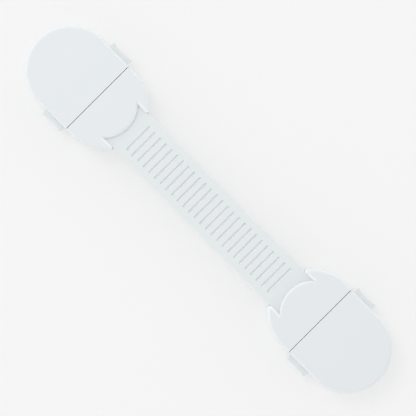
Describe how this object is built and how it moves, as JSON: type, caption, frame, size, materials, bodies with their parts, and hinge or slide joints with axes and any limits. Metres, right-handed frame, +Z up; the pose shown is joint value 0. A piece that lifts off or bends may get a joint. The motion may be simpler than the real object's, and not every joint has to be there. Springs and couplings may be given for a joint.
{
  "type": "cabinet safety lock",
  "caption": "White stick-on strap lock: two rounded latch heads with squeeze buttons at their sides, joined by a flat flexible grooved strap that releases from either head.",
  "frame": {"origin": "middle of the strap, on the mounting surface under the adhesive pads", "axes": "+X along the strap towards the right head, +Y across it towards the rear buttons, +Z up from the mounting surface"},
  "size_m": [0.193, 0.041, 0.01],
  "materials": {
    "white_abs": "satin moulded",
    "soft_strap": "fine matt moulded",
    "acetal": "natural moulded",
    "foam_tape": "closed-cell foam",
    "spring_steel": "drawn wire"
  },
  "bodies": {
    "left_head": {"left_adhesive_pad": "foam_tape", "left_base_plate": "white_abs", "left_outer_cover": "white_abs", "left_front_spring": "spring_steel", "left_rear_spring": "spring_steel"},
    "left_front_button": {"left_front_button": "white_abs"},
    "left_rear_button": {"left_rear_button": "white_abs"},
    "right_head": {"right_adhesive_pad": "foam_tape", "right_base_plate": "white_abs", "right_outer_cover": "white_abs", "right_front_spring": "spring_steel", "right_rear_spring": "spring_steel"},
    "right_front_button": {"right_front_button": "white_abs"},
    "right_rear_button": {"right_rear_button": "white_abs"},
    "strap": {"strap": "soft_strap", "left_strap_cover": "white_abs", "left_strap_tray": "white_abs", "left_spring_fork": "acetal", "right_strap_cover": "white_abs", "right_strap_tray": "white_abs", "right_spring_fork": "acetal"}
  },
  "joints": [
    {"name": "left_release", "type": "slide", "parent": "left_head", "child": "strap", "axis": [1, 0, 0], "range_m": [0, 0.036], "deforming": ["left_spring_fork"]},
    {"name": "right_release", "type": "slide", "parent": "strap", "child": "right_head", "axis": [1, 0, 0], "range_m": [0, 0.036], "deforming": ["right_spring_fork"]},
    {"name": "left_front_press", "type": "slide", "parent": "left_head", "child": "left_front_button", "axis": [0, 1, 0], "range_m": [0, 0.0026], "stiffness_N_per_m": 600, "springref_m": -0.002, "deforming": ["left_front_spring", "left_spring_fork"]},
    {"name": "left_rear_press", "type": "slide", "parent": "left_head", "child": "left_rear_button", "axis": [0, -1, 0], "range_m": [0, 0.0026], "stiffness_N_per_m": 600, "springref_m": -0.002, "deforming": ["left_rear_spring", "left_spring_fork"]},
    {"name": "right_front_press", "type": "slide", "parent": "right_head", "child": "right_front_button", "axis": [0, 1, 0], "range_m": [0, 0.0026], "stiffness_N_per_m": 600, "springref_m": -0.002, "deforming": ["right_front_spring", "right_spring_fork"]},
    {"name": "right_rear_press", "type": "slide", "parent": "right_head", "child": "right_rear_button", "axis": [0, -1, 0], "range_m": [0, 0.0026], "stiffness_N_per_m": 600, "springref_m": -0.002, "deforming": ["right_rear_spring", "right_spring_fork"]}
  ]
}
